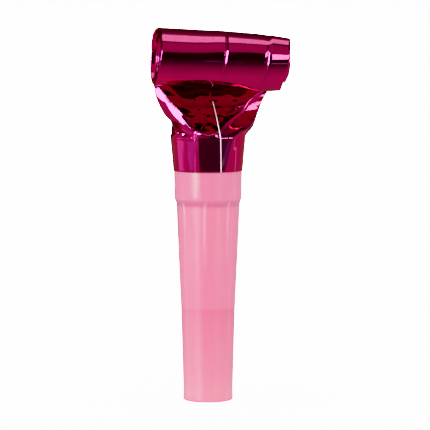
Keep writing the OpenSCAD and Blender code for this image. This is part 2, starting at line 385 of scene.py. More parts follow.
@dataclass(frozen=True)
class WireFinish:
    """Bright drawn steel wire with faint scratches along it."""

    name: str = "drawn_wire"
    colour: Triple = (0.62, 0.62, 0.64)
    worn_colour: Triple = (0.45, 0.44, 0.44)
    roughness: float = 0.18
    worn_roughness: float = 0.34

    def build(self) -> Material:
        """Wires up the finish.

        Returns:
            The material.
        """
        material, w, place = blank_material(self.name)
        worn = w.add("Group", {"Vector": place}, node_tree=CRINKLES).outputs["Patches"]
        close_material(w, w.feed("BsdfPrincipled", {
            "Base Color": w.ramp(worn, [(0.0, self.colour), (1.0, self.worn_colour)]),
            "Metallic": 1.0, "Roughness": w.span(worn, self.roughness, self.worn_roughness),
        }))
        return material


def graded(low: Triple, high: Triple, top: float = 30.0) -> tuple[tuple[float, Triple], ...]:
    """Returns stops for a colour that changes evenly from the mouth rim up to a height."""
    return (0.0, low), (top, high)


class Palette:
    """The finishes of all the pieces."""

    def __init__(self) -> None:
        """Builds each material once."""
        self.foil = FilmFinish(
            "magenta_film", colour=(0.56, 0.004, 0.098),
            rubbed_colour=(0.50, 0.004, 0.088)).build()
        # The lap edge's pale colour, lighter towards the top, is a painted highlight along the edge.
        self.seam = MouldedFinish(
            "lap_edge_painted_highlight", graded((0.80, 0.66, 0.72), (0.86, 0.78, 0.82), top=100.0),
            roughness=0.25, cloud_roughness=0.4, depth=0.0).build()
        pink, dense, pale = (0.79, 0.262, 0.39), (0.81, 0.283, 0.40), (0.84, 0.33, 0.44)
        # step_shade is painted shade: a darker band on the step's downward face, under the ledge.
        line, step_shade, lap = (0.76, 0.22, 0.34), (0.73, 0.2, 0.33), (0.75, 0.255, 0.39)
        self.tube = MouldedFinish("milky_pink_plastic", (
            (0.0, pale), (9.0, dense), (24.6, line), (25.2, pink), (51.6, pink),
            (52.3, step_shade), (53.2, lap), (70.0, lap),
        # rib_painted_highlight paints the ribs' crests lighter, a painted highlight.
        ), rib_painted_highlight=0.34).build()
        self.insert = MouldedFinish(
            "pale_insert_plastic", graded((0.86, 0.36, 0.46), (0.84, 0.34, 0.44)),
            roughness=0.35, cloud_roughness=0.42, gloss=0.4).build()
        self.reed_holder = MouldedFinish(
            "white_reed_plastic", graded((0.83, 0.82, 0.79), (0.8, 0.79, 0.76)),
            roughness=0.4, cloud_roughness=0.5, gloss=0.4).build()
        self.tongue = MouldedFinish(
            "clear_reed_film", graded((0.7, 0.74, 0.78), (0.72, 0.76, 0.8)),
            roughness=0.1, depth=0.0).build()
        self.glue = MouldedFinish(
            "dried_glue", graded((0.8, 0.72, 0.5), (0.84, 0.76, 0.55), top=100.0),
            roughness=0.25, grain_height=0.02).build()
        self.wire = WireFinish().build()


def flat_ring(points: Sequence[Pair]) -> BMesh:
    """Starts a mesh with one closed ring.

    Args:
        points: X and Z of the ring's corners, in order.

    Returns:
        The mesh, with the ring's corners at Y 0.
    """
    bm = bmesh.new()
    ring = bmesh.ops.create_circle(bm, cap_ends=False, radius=1.0, segments=len(points))["verts"]
    for vert, (x, z) in zip(ring, points):
        vert.co = (x, 0.0, z)
    return bm


def draw_out(bm: BMesh, start: float, step: float, count: int) -> None:
    """Draws the ring out along Y.

    Args:
        bm: Mesh with one ring.
        start: Y of the first ring.
        step: Distance between rings.
        count: Number of steps.
    """
    bmesh.ops.translate(bm, vec=(0.0, start, 0.0), verts=bm.verts[:])
    bmesh.ops.spin(bm, geom=bm.verts[:] + bm.edges[:], cent=(0, 0, 0), axis=(0, 1, 0),
                   dvec=(0.0, step, 0.0), angle=0.0, steps=count, use_duplicate=False)


def link_piece(name: str, bm: BMesh, material: Material) -> Object:
    """Makes a smooth-shaded object from a mesh and frees the bmesh.

    Args:
        name: Name of the piece.
        bm: Finished mesh in metres.
        material: Its finish.

    Returns:
        The linked object, at the origin.
    """
    mesh = bpy.data.meshes.new(name)
    bm.to_mesh(mesh)
    bm.free()
    mesh.shade_smooth()
    mesh.materials.append(material)
    piece = bpy.data.objects.new(name, mesh)
    bpy.context.scene.collection.objects.link(piece)
    return piece


def mount(piece: Object, slot: Slot, *replaced: str) -> None:
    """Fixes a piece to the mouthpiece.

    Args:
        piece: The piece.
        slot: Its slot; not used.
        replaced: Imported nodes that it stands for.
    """
    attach(piece, "root")
    for node in replaced:
        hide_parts(node)


@dataclass(frozen=True)
class Crease:
    """A crease pressed into the strip, which runs along it."""

    across: float
    depth: float
    left_width: float
    right_width: float
    start: float = 1.0
    end: float = 5.6
    fade_in: float = 0.8
    fade_out: float = 1.6

    def press(self, across: float, station: float) -> float:
        """Reads how deep the crease is.

        Args:
            across: Distance from the strip's middle.
            station: Place along the strip.

        Returns:
            The depth there.
        """
        offset = across - self.across
        width = self.left_width if offset < 0 else self.right_width
        reach = ease(self.start, self.start + self.fade_in, station)
        reach *= 1 - ease(self.end - self.fade_out, self.end, station)
        return self.depth * reach * fold(offset, width)


@dataclass(frozen=True)
class Spiral:
    """The shape of the wound strip. Stations count bends of 45 degrees from the neck's end."""

    radius: float = 7.1
    pitch: float = 1.0
    bends_per_turn: int = 8
    bend_count: int = 36
    tip_bends: float = 4 / 3
    width: float = 34.0
    thickness: float = 0.44
    back_y: float = 0.3
    height: float = 90.4
    shift: float = 1.9
    tilt_deg: float = 3.3
    cone_mean: float = 0.995
    cone_slope: float = 0.054
    slack_stations: tuple[float, ...] = (0, 1, 2, 2.5, 2.75, 3, 3.5, 4, 5, 6, 7, 8)
    slack: tuple[tuple[float, tuple[float, ...]], ...] = (
        (-17.0, (0, .05, .27, .26, .24, .22, .26, .33, .55, .75, .5, 0)),
        (-10.7, (0, .1, .42, .38, .34, .30, .33, .40, .58, .80, .5, 0)),
        (-5.3, (0, .12, .55, .5, .46, .42, .33, .28, .50, .80, .5, 0)),
        (-1.3, (0, .15, .72, .7, .62, .52, .28, .10, .35, .85, .5, 0)),
        (5.5, (0, .15, .72, .72, .67, .60, .28, -.05, .12, .95, .6, 0)),
        (9.6, (0, .12, .64, .7, .68, .64, .32, 0, .15, 1.6, 1.0, 0)),
        (11.3, (0, .12, .5, .42, .62, .62, .3, 0, .25, 1.9, 1.1, 0)),
        (12.0, (0, .1, .5, .98, 1.0, .64, .28, .1, .3, 1.7, 1.1, 0)),
        (16.8, (0, 0, .12, .6, .6, .22, -.08, -.35, -.2, 1.3, .9, 0)),
    )
    left_drift: Stations = (
        (0, 0), (.5, -.35), (1.2, -.45), (1.8, -.1), (2.2, .3), (2.6, .6), (3, .3), (3.6, .35),
        (4, .1), (5, -.2), (6, -.3), (7, -.5), (8, -.5), (10, 0),
    )
    right_drift: Stations = (
        (-1, 0), (0, .2), (1, .9), (2, 1.25), (3, .75), (4, .3), (4.6, .1), (5, -.15), (5.5, -.5),
        (6.2, -.3), (8, -.3), (10, 0),
    )
    creases: tuple[Crease, ...] = (
        Crease(across=0.1, depth=0.36, left_width=0.35, right_width=0.5, start=1.9),
        Crease(across=11.3, depth=0.26, left_width=0.7, right_width=0.26, start=2.9),
    )
    telescope: float = 1.1
    telescope_stations: Pair = (5.0, 20.0)
    wave: float = 0.03
    wave_scale: Pair = (0.16, 0.9)
    wave_row: float = 3.7
    wave_onset: Pair = (-0.3, 0.6)

    @property
    def bend_deg(self) -> float:
        """Angle of one bend."""
        return 360 / self.bends_per_turn

    @property
    def bend_length(self) -> float:
        """Length of the first bend."""
        return math.radians(self.bend_deg) * self.radius

    def centre(self, bend: int) -> Vector:
        """Finds the centre of a bend.

        Args:
            bend: Number of the bend, from 0.

        Returns:
            The centre, in the plane across the roll.
        """
        place = Vector((-self.radius, 0.0))
        step = self.pitch / self.bends_per_turn
        for k in range(1, bend + 1):
            turn = math.radians(self.bend_deg * k)
            place += step * Vector((math.cos(turn), math.sin(turn)))
        return place

    def line(self, station: float, depth: float) -> Vector:
        """Finds a point in the plane across the roll.

        Args:
            station: Place along the strip.
            depth: Depth under the outer face.

        Returns:
            Offset from the neck's end, towards the back and up.
        """
        if station <= 0:
            return Vector((-depth, station * self.bend_length))
        bend = min(int(station), self.bend_count)
        radius = self.radius - self.pitch / self.bends_per_turn * bend - depth
        turn = math.radians(self.bend_deg * station)
        return CENTRES[bend] + radius * Vector((math.cos(turn), math.sin(turn)))

    def relief(self, across: float, station: float) -> float:
        """Reads how far the film stands out.

        Args:
            across: Distance from the strip's middle.
            station: Place along the strip.

        Returns:
            The rise there, below 0 where it lies deeper.
        """
        height = -sum(crease.press(across, station) for crease in self.creases)
        places = [place for place, _ in self.slack]
        rows = [[heights[k] for _, heights in self.slack] for k in range(len(self.slack_stations))]
        line = [read_off(list(zip(places, row)), across) for row in rows]
        height += glide(self.slack_stations, line, station)
        spot = Vector((across * self.wave_scale[0], station * self.wave_scale[1], self.wave_row))
        return height + self.wave * noise.noise(spot) * ease(*self.wave_onset, station)

    def place(self, across: float, station: float, depth: float) -> Vector:
        """Puts a point of the flat strip on the roll.

        Args:
            across: Distance from the strip's middle, along +X.
            station: Place along the strip.
            depth: Depth under the outer face.

        Returns:
            The point in metres, in the row frame.
        """
        y, z = self.line(station, depth - self.relief(across, station))
        if station > 0:
            cone = self.cone_mean - self.cone_slope * across / (self.width / 2)
            y, z = y * cone, z * cone
        edge = ease(-self.width / 2, self.width / 2, across)
        across += mix(read_off(self.left_drift, station), read_off(self.right_drift, station), edge)
        across += self.telescope * ease(*self.telescope_stations, station)
        tilt = math.radians(self.tilt_deg)
        return MM * Vector((
            self.shift + across * math.cos(tilt) + z * math.sin(tilt),
            self.back_y + y,
            self.height - across * math.sin(tilt) + z * math.cos(tilt),
        ))


SPIRAL = Spiral()
CENTRES = [SPIRAL.centre(k) for k in range(SPIRAL.bend_count + 1)]


@dataclass
class WoundStrip:
    """The foil tube's wound length, cut at the middle of each bend."""

    palette: Palette
    steps_per_bend: int = 6
    lead_steps: int = 2
    fold_points: int = 3
    inner_points: int = 18
    outer_points: tuple[float, ...] = (
        -16, -15, -14, -12.5, -11, -9.5, -8, -6.5, -5, -3.5, -2.2, -1.2, -0.6, -0.36, -0.28,
        -0.1, 0.05, 0.1, 0.16, 0.3, 0.55, 0.72, 0.8, 1.1, 1.8, 2.8, 4, 5.2, 6.4, 7.6, 8.6, 9.4, 9.95,
        10.1, 10.25, 10.6, 10.95, 11.1, 11.15, 11.3, 11.4, 11.6, 11.9, 12.2, 12.5, 12.8, 13.4, 14.2,
        15, 15.8, 16.4,
    )
    wire_across: float = -9.0
    wire_radius: float = 0.125
    wire_sides: int = 8
    tip_press: float = 0.6
    crimp: float = 0.05
    crimps_per_bend: int = 3

    def section(self) -> list[Pair]:
        """Draws the flat tube's outline.

        Returns:
            Distances across and depths under the outer face.
        """
        half = SPIRAL.thickness / 2
        edge = SPIRAL.width / 2 - half
        outer = [(-edge, 0.0), *((x, 0.0) for x in self.outer_points), (edge, 0.0)]
        turns = [math.pi * (k + 1) / (self.fold_points + 1) for k in range(self.fold_points)]
        right = [(edge + half * math.sin(t), half - half * math.cos(t)) for t in turns]
        inner = [(mix(edge, -edge, k / self.inner_points), SPIRAL.thickness)
                 for k in range(self.inner_points + 1)]
        left = [(-edge - half * math.sin(t), half + half * math.cos(t)) for t in turns]
        return outer + right + inner + left

    def wire_section(self) -> list[Pair]:
        """Draws the wire's outline.

        Returns:
            Distances across and depths under the outer face.
        """
        turns = [math.tau * k / self.wire_sides for k in range(self.wire_sides)]
        return [(self.wire_across + self.wire_radius * math.cos(t),
                 SPIRAL.thickness / 2 + self.wire_radius * math.sin(t)) for t in turns]

    def wind(self, section: list[Pair], seal_tip: bool) -> BMesh:
        """Draws out a straight tube, marks the cuts and winds it up.

        Args:
            section: Outline as distances across and depths.
            seal_tip: Whether the far end is pressed flat, as the foil's is.

        Returns:
            The wound tube, with a number on each face and a normal on each corner.
        """
        bm = flat_ring(section)
        step = 1 / self.steps_per_bend
        tip = SPIRAL.tip_bends if seal_tip else 0
        count = self.lead_steps + round((SPIRAL.bend_count + tip) * self.steps_per_bend)
        draw_out(bm, -self.lead_steps * step, step, count)
        end = max(v.co.y for v in bm.verts) - step / 2
        rim = [e for e in bm.edges if all(v.co.y > end for v in e.verts)]
        bmesh.ops.edgeloop_fill(bm, edges=rim)
        number = bm.faces.layers.int.new("piece")
        for face in bm.faces:
            face[number] = min(max(0, math.floor(face.calc_center_median().y + 0.5)), SPIRAL.bend_count)
        for vert in bm.verts:
            across, station, depth = vert.co.x, vert.co.y, vert.co.z
            if seal_tip:
                pressed = ease(SPIRAL.bend_count, SPIRAL.bend_count + 0.5, station)
                depth = mix(depth, SPIRAL.thickness / 2, self.tip_press * pressed)
                depth += self.crimp * pressed * math.sin(station * math.tau * self.crimps_per_bend)
            vert.co = SPIRAL.place(across, station, depth)
        bmesh.ops.recalc_face_normals(bm, faces=bm.faces[:])
        bm.normal_update()
        kept = bm.verts.layers.float_vector.new("whole_normal")
        for vert in bm.verts:
            vert[kept] = vert.normal
        return bm

    def cut(self, whole: BMesh, number: int, name: str, material: Material) -> Object:
        """Cuts one piece out of the wound tube, with the whole tube's normals.

        Args:
            whole: The wound tube, which is kept.
            number: Number on the faces to keep.
            name: Name of the piece.
            material: Its finish.

        Returns:
            The piece.
        """
        part = whole.copy()
        layer = part.faces.layers.int["piece"]
        bmesh.ops.delete(part, geom=[f for f in part.faces if f[layer] != number], context="FACES")
        piece = link_piece(name, part, material)
        stored = piece.data.attributes["whole_normal"]
        normals = [Vector(item.vector) for item in stored.data]
        piece.data.attributes.remove(stored)
        piece.data.attributes.remove(piece.data.attributes["piece"])
        piece.data.normals_split_custom_set_from_vertices(normals)
        return piece

    def build(self) -> None:
        """Builds the strip and the wire inside it, piece by piece."""
        kinds = (
            ("foil_bend", self.section(), self.palette.foil, Slot.FOIL, 0.0),
            ("wire_run", self.wire_section(), self.palette.wire, Slot.WIRE, self.wire_across),
        )
        last, middle = SPIRAL.bend_count, SPIRAL.thickness / 2
        for label, section, material, slot, across in kinds:
            whole = self.wind(section, slot is Slot.FOIL)
            begin = -self.lead_steps / self.steps_per_bend
            for number in range(last + 1):
                piece = self.cut(whole, number, f"{label}_{number:02d}", material)
                before = f"roll_{number:02d}" if number else "root"
                if number == last:
                    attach(piece, before)
                else:
                    SPIRAL.place(across, begin, middle)
                    SPIRAL.place(across, number + 0.5, middle)
                    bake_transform(piece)
                begin = number + 0.5
                replaced = [f"foil_section_{number:02d}"] if number else []
                if number == last:
                    replaced.append("tip_seal")
                for node in replaced if slot is Slot.FOIL else ["retract_spring"]:
                    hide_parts(node)
            log.info("%s: %d pieces", label, last + 1)
            whole.free()


@dataclass(frozen=True)
class Viewpoint:
    """Where the photograph was taken from, in millimetres."""

    azimuth_deg: float = -10.5
    distance: float = 667.0
    height: float = 110.0
    pitch_deg: float = 5.2
    offset: float = 1.85
    focal_px: float = 2527.0
    frame_px: float = 430.0

    @property
    def turn(self) -> float:
        """Azimuth in radians."""
        return math.radians(self.azimuth_deg)

    @property
    def right(self) -> Vector:
        """Unit vector to the picture's right."""
        return Vector((math.cos(self.turn), math.sin(self.turn), 0.0))

    @property
    def eye(self) -> Vector:
        """The camera's place."""
        back = Vector((math.sin(self.turn), -math.cos(self.turn), 0.0))
        return back * self.distance + self.right * self.offset + Vector((0.0, 0.0, self.height))

    def seen(self, side: float, rise: float, y: float) -> Vector:
        """Finds the point that is seen at a place and lies at a given depth.

        Args:
            side: Distance to the right of the tube's axis, as seen on the plane through it.
            rise: Height, as seen on that plane.
            y: Depth, as the point's own Y.

        Returns:
            The point.
        """
        eye = self.eye
        ray = self.right * side + Vector((0.0, 0.0, rise)) - eye
        return eye + ray * ((y - eye.y) / ray.y)


VIEWPOINT = Viewpoint()


@dataclass(frozen=True)
class FoldLine:
    """A fold in the neck, from its place round the mouthpiece up to the flat strip.

    The path holds, for each knee, how far right and how high it is seen, and its own Y.
    """

    base_deg: float
    path: tuple[Triple, ...]
    top: Pair
    columns: int

    def at(self, height: float, foot: Vector, top_z: float) -> Vector:
        """Reads the fold at a height.

        Args:
            height: Height to read.
            foot: Where the fold starts.
            top_z: Height at which it is flat.

        Returns:
            The point.
        """
        knees = [foot, *(VIEWPOINT.seen(*knee) for knee in self.path), Vector((*self.top, top_z))]
        for low, high in zip(knees, knees[1:]):
            if height <= high.z:
                return low.lerp(high, max(0.0, (height - low.z) / (high.z - low.z)))
        return knees[-1]


Bay = tuple[FoldLine, FoldLine | None, float]


@dataclass
class FoilNeck:
    """The foil from its cut edge on the mouthpiece, over the flare, to the first bend.

    The collar has pleats, a bead at its rim and the ridge of the lap; the lap's pairs are for its edge
    and its rim. The flare is crumpled, most of all in the pocket in the middle of its front: the pairs
    of rises are for outside the pocket and inside it.
    """

    palette: Palette
    edge_z: float = 61.2
    edge_radius: float = 9.18
    rim_z: float = 70.3
    rim_radius: float = 9.98
    flat_z: float = 86.0
    wall: float = 0.1
    collar_rows: int = 30
    flare_rows: int = 64
    flat_rows: int = 5
    back_columns: int = 44
    folds: tuple[FoldLine, ...] = (
        FoldLine(-100.5, ((-9.72, 71, 0.9), (-9.82, 71.8, 0.9), (-9.53, 73.04, 0.8),
            (-9.72, 73.91, 0.6), (-9.98, 74.39, 0.6), (-11.46, 75.74, 0.4), (-12.67, 77.93, 0.3),
            (-13.65, 80.2, 0.2), (-13.94, 81.36, 0.15), (-14.1, 82.79, 0.1)), (-15.1, 0.08), 8),
        FoldLine(-66.9, ((-8.05, 70.92, -5.6), (-8.32, 71.72, -5), (-8.76, 72.64, -4.25),
            (-9.16, 73.57, -3.3), (-9.77, 74.44, -1.6), (-11.09, 75.84, -0.9), (-12.33, 77.98, -0.6),
            (-13.38, 80.23, -0.35), (-13.89, 81.36, -0.1), (-14.04, 82.79, 0)), (-15.08, 0.04), 10),
        FoldLine(-51.9, ((-6.07, 71, -6.2), (-7.6, 72.64, -4.4), (-9.29, 74.23, -2.3),
            (-10.69, 75.95, -1.5), (-11.93, 78.06, -1.1), (-13.23, 80.25, -0.6), (-13.83, 81.36, -0.25),
            (-13.99, 82.79, -0.05)), (-15.05, 0), 10),
        FoldLine(-38.1, ((-4.28, 70.58, -8), (-6.18, 72.64, -6.3), (-7.6, 74.05, -5.1),
            (-9.21, 75.68, -3.85), (-10.48, 77.51, -2.6), (-10.88, 78.59, -2.35), (-11.19, 79.28, -2.1),
            (-12.14, 79.49, -1.5), (-13.28, 80.49, -0.85), (-13.75, 81.36, -0.45),
            (-13.91, 82.79, -0.12)), (-15, -0.05), 8),
        FoldLine(-33.9, ((-3.64, 71.06, -8.7), (-4.36, 72.01, -7.8), (-5.76, 73.65, -6.4),
            (-6.78, 75.08, -5.35), (-8.4, 77.3, -3.9), (-9.82, 78.72, -2.95), (-10.85, 79.54, -2.3),
            (-11.19, 80.7, -2), (-12.28, 81.89, -1.2), (-13.23, 82.79, -0.55)), (-14.95, -0.1), 6),
        FoldLine(-29, ((-3.12, 71.45, -9), (-3.96, 72.64, -7.6), (-4.75, 73.83, -6.6),
            (-6.18, 75.47, -5.45), (-8.21, 77.51, -4.05), (-9.9, 79.12, -2.95), (-10.64, 79.94, -2.55),
            (-11.01, 80.62, -2.3), (-12.01, 81.89, -1.4), (-12.8, 82.79, -0.75)), (-14.8, -0.13), 10),
        FoldLine(-21.2, ((-1.85, 70.79, -9.75), (-1.98, 71.45, -9), (-2.24, 72.38, -7.9),
            (-2.64, 73.7, -6.5), (-3.7, 75.82, -4.9), (-5.02, 77.67, -3.75), (-6.6, 79.78, -2.8),
            (-7.92, 81.36, -2.1), (-9.5, 82.94, -1.35)), (-12.5, -0.14), 9),
        FoldLine(-9.7, ((-0.13, 70.26, -10.05), (-0.13, 70.92, -9.3), (-0.26, 72.12, -8),
            (-0.26, 73.7, -6.35), (-0.26, 75.82, -4.65), (-0.26, 77.67, -3.5), (-0.26, 79.78, -2.45),
            (-0.26, 81.36, -1.8), (-0.26, 82.94, -1.15)), (0, -0.14), 9),
        FoldLine(0.2, ((1.98, 70.79, -9.85), (2.11, 71.45, -9.1), (2.38, 72.38, -8),
            (3.17, 73.7, -6.55), (5.02, 75.82, -4.8), (6.6, 77.67, -3.6), (8.05, 79.78, -2.5),
            (9.24, 81.36, -1.85), (10.56, 82.94, -1.2)), (13, -0.14), 9),
        FoldLine(8, ((3.14, 71.45, -9.2), (4.07, 72.8, -7.95), (5.57, 74.2, -6.45),
            (7.47, 75.71, -4.85), (9.35, 77.03, -3.4), (9.98, 77.96, -2.95), (10.72, 79.28, -2.45),
            (11.85, 80.49, -1.85), (14.12, 82.31, -0.75)), (15.6, -0.14), 4),
        FoldLine(11.2, ((3.75, 70.98, -9), (5.39, 73.07, -7), (7.66, 75.13, -4.7), (9.74, 76.9, -2.9),
            (10.3, 77.4, -2.65), (10.85, 78.72, -2.3), (11.04, 79.14, -2.15), (12.17, 80.33, -1.6),
            (14.44, 82.26, -0.6)), (16, -0.14), 14),
        FoldLine(23.2, ((6.34, 70.92, -8.35), (8.98, 72.64, -6.3), (10.69, 74.36, -4.34),
            (11.62, 75.95, -2.97), (12.38, 77.03, -2.03), (12.67, 78.06, -1.72), (12.88, 78.83, -1.5),
            (13.15, 79.78, -1.15), (13.6, 80.57, -0.6), (15.05, 82.31, -0.2)), (17.3, -0.13), 8),
        FoldLine(38.4, ((8.45, 70.66, -7.4), (9.77, 71.72, -6.5), (11.25, 72.72, -5.3),
            (12.3, 74.57, -3.6), (13.04, 76.79, -1.95), (13.6, 78.19, -1.28), (14.12, 79.3, -1),
            (14.78, 80.7, -0.35), (15.58, 82.31, 0)), (18.5, -0.08), 10),
        FoldLine(79.5, ((10.11, 70.61, -1.6), (11.43, 72.12, -1.3), (11.99, 72.88, -1.2),
            (12.57, 74.57, -0.7), (13.31, 76.85, -0.4), (14.26, 79.49, -0.1), (15.76, 82.31, 0.08)),
            (18.9, 0.08), 0),
    )
    pleat: float = 0.07
    pleat_scale: Pair = (4.0, 0.7)
    pleat_onset: float = 0.8
    bead: float = 0.035
    bead_z: float = 69.95
    bead_half: float = 0.3
    lap_rise: Pair = (0.1, 0.24)
    lap_deg: Pair = (16.6, 32.5)
    lap_half_deg: float = 9.0
    lap_onset: float = 0.05
    round_foot: float = 0.1
    back_y: Pair = (0.08, 0.3)
    back_corner: float = 0.125
    crumpled_z: tuple[float, float, float, float] = (71.1, 73.3, 84.0, 86.0)
    fine_scale: float = 0.6
    fine_rise: Pair = (0.012, 0.04)
    broad_scale: Triple = (0.36, 0.3, 0.12)
    broad_row: float = 7.0
    broad_rise: Pair = (0.02, 0.2)
    pocket_z: float = 71.0
    pocket_lean: float = 0.28
    pocket_foot: float = 66.5
    pocket_spread: float = 0.62
    seam_half: float = 0.15
    seam_depths: Pair = (0.02, 0.09)
    seam_path: Stations = (
        (3.45, 60.6), (3.42, 65.0), (3.33, 69.7), (3.06, 71.2), (2.3, 75.0), (1.24, 79.5),
    )
    seam_rows: int = 70

    def circle(self, turn_deg: float, height: float) -> Vector:
        """Finds a point of the collar.

        Args:
            turn_deg: Angle from the front, counter-clockwise from above.
            height: Its height.

        Returns:
            The point.
        """
        rise = (height - self.edge_z) / (self.rim_z - self.edge_z)
        radius = mix(self.edge_radius, self.rim_radius, min(rise, 1.0))
        turn = math.radians(turn_deg)
        around, along = self.pleat_scale
        pleat = noise.noise(Vector((math.sin(turn) * around, math.cos(turn) * around, rise * along)))
        radius += self.pleat * pleat * ease(0.0, self.pleat_onset, rise)
        radius += self.bead * bump(height - self.bead_z, self.bead_half)
        lap = fold(turn_deg - mix(*self.lap_deg, rise), self.lap_half_deg)
        radius += mix(*self.lap_rise, rise) * lap * ease(0.0, self.lap_onset, rise)
        return Vector((radius * math.sin(turn), -radius * math.cos(turn), height))

    def bays(self) -> list[Bay]:
        """Lists a ring's columns.

        Returns:
            The fold before each, the fold after it, and the share between.
        """
        made = []
        for first, second in zip(self.folds, self.folds[1:]):
            made += [(first, second, k / first.columns) for k in range(first.columns)]
        return made + [(self.folds[-1], None, k / self.back_columns) for k in range(self.back_columns)]

    def fold_at(self, fold_line: FoldLine, height: float) -> Vector:
        """Reads a fold that starts on the collar's rim."""
        return fold_line.at(height, self.circle(fold_line.base_deg, self.rim_z), self.flat_z)

    def flare(self, bay: Bay, height: float) -> Vector:
        """Finds a point of the flare.

        Args:
            bay: Its column.
            height: Its height.

        Returns:
            The point.
        """
        first, second, share = bay
        rise = (height - self.rim_z) / (self.flat_z - self.rim_z)
        if second:
            chord = self.fold_at(first, height).lerp(self.fold_at(second, height), share)
            turn_deg = mix(first.base_deg, second.base_deg, share)
            low = self.circle(first.base_deg, self.rim_z).lerp(
                self.circle(second.base_deg, self.rim_z), share)
            bulge = (self.circle(turn_deg, self.rim_z) - low) * (1 - ease(0.0, self.round_foot, rise))
            return chord + Vector((bulge.x, bulge.y, 0.0))
        left, right = self.folds[0], self.folds[-1]
        turn_deg = mix(right.base_deg, left.base_deg + 360, share)
        base = self.circle(turn_deg, self.rim_z)
        flat_x = mix(right.top[0], left.top[0], share)
        flat_y = mix(*self.back_y, min(1.0, min(share, 1 - share) / self.back_corner))
        point = Vector((mix(base.x, flat_x, rise), mix(base.y, flat_y, rise), height))
        for edge, weight in ((right, (1 - share) ** 2), (left, share ** 2)):
            ruled = self.circle(edge.base_deg, self.rim_z).lerp(Vector((*edge.top, 0.0)), rise)
            actual = self.fold_at(edge, height)
            point += Vector((actual.x - ruled.x, actual.y - ruled.y, 0.0)) * weight
        return point

    def place(self, bay: Bay, row: int) -> Vector:
        """Puts a corner of the straight blank where the foil goes.

        Args:
            bay: Its column.
            row: Number of the ring, from the cut edge up.

        Returns:
            The point, in millimetres.
        """
        if row <= self.collar_rows:
            first, second, share = bay
            last_deg = second.base_deg if second else self.folds[0].base_deg + 360
            turn_deg = mix(first.base_deg, last_deg, share)
            return self.circle(turn_deg, mix(self.edge_z, self.rim_z, row / self.collar_rows))
        row -= self.collar_rows
        if row <= self.flare_rows:
            return self.flare(bay, mix(self.rim_z, self.flat_z, row / self.flare_rows))
        point = self.flare(bay, self.flat_z)
        slope = math.tan(math.radians(SPIRAL.tilt_deg))
        start = -WoundStrip.lead_steps / WoundStrip.steps_per_bend
        last = SPIRAL.place(0.0, start, 0.0).z / MM - (point.x - SPIRAL.shift) * slope
        point.z = mix(self.flat_z, last, (row - self.flare_rows) / self.flat_rows)
        return point

    def crinkle(self, point: Vector) -> float:
        """Reads how crumpled the film is.

        Args:
            point: A point of the smooth neck.

        Returns:
            How far the film stands out there.
        """
        x, y, z = point
        low, full, fading, high = self.crumpled_z
        reach = ease(low, full, z) * (1 - ease(fading, high, z))
        middle = self.pocket_lean * (z - self.pocket_z)
        pocket = bump(x - middle, self.pocket_spread * (z - self.pocket_foot))
        by_x, by_y, by_z = self.broad_scale
        fine = 1 - 2 * abs(noise.noise(point * self.fine_scale))
        broad = 1 - 2 * abs(noise.noise(Vector((x * by_x, y * by_y, z * by_z + self.broad_row))))
        return reach * (mix(*self.fine_rise, pocket) * fine + mix(*self.broad_rise, pocket) * broad)

    def skin(self) -> BMesh:
        """Draws out a straight blank and folds it into the neck.

        Returns:
            The neck's skin, in metres.
        """
        bays = self.bays()
        bm = flat_ring([(float(k), 0.0) for k in range(len(bays))])
        draw_out(bm, 0.0, 1.0, self.collar_rows + self.flare_rows + self.flat_rows)
        loose = []
        for vert in bm.verts:
            row = round(vert.co.y)
            if self.collar_rows < row < self.collar_rows + self.flare_rows:
                loose.append(vert)
            vert.co = self.place(bays[round(vert.co.x)], row)
        bmesh.ops.smooth_vert(bm, verts=loose, factor=0.5, use_axis_x=True, use_axis_y=True,
                              use_axis_z=True)
        bmesh.ops.recalc_face_normals(bm, faces=bm.faces[:])
        bm.normal_update()
        lifts = [(vert, vert.normal * self.crinkle(vert.co)) for vert in loose]
        for vert, lift in lifts:
            vert.co += lift
        bmesh.ops.scale(bm, vec=(MM, MM, MM), verts=bm.verts[:])
        bm.normal_update()
        return bm

    def seam(self, tree: BVHTree) -> None:
        """Lays a thin ribbon of film, the edge of the lap, on the skin, in a pale colour that is a painted
        highlight along the edge.

        Args:
            tree: The skin's faces.
        """
        half, path, (low, high) = self.seam_half, self.seam_path, self.seam_depths
        bm = flat_ring([(-half, low), (half, low), (half, high), (-half, high)])
        draw_out(bm, 0.0, 1.0, self.seam_rows)
        bmesh.ops.holes_fill(bm, edges=[e for e in bm.edges if e.is_boundary], sides=4)
        by_height = [(rise, side) for side, rise in path]
        eye = VIEWPOINT.eye
        for vert in bm.verts:
            rise = mix(path[0][1], path[-1][1], vert.co.y / self.seam_rows)
            side = read_off(by_height, rise) + vert.co.x
            target = VIEWPOINT.right * side + Vector((0.0, 0.0, rise))
            hit, normal, _, _ = tree.ray_cast(eye * MM, (target - eye).normalized())
            vert.co = hit + normal * (vert.co.z * MM)
        bmesh.ops.recalc_face_normals(bm, faces=bm.faces[:])
        mount(link_piece("foil_lap_edge_highlight", bm, self.palette.seam), Slot.FOIL)

    def build(self) -> None:
        """Builds the neck's skin and the edge of the lap on its front."""
        bm = self.skin()
        tree = BVHTree.FromBMesh(bm)
        skin = link_piece("foil_neck_skin", bm, self.palette.foil)
        thicken = skin.modifiers.new("film_wall", "SOLIDIFY")
        thicken.thickness = self.wall * MM
        thicken.offset = -1.0
        mount(skin, Slot.FOIL, "foil_neck")
        log.info("foil_neck_skin: %d corners", len(skin.data.vertices))
        self.seam(tree)


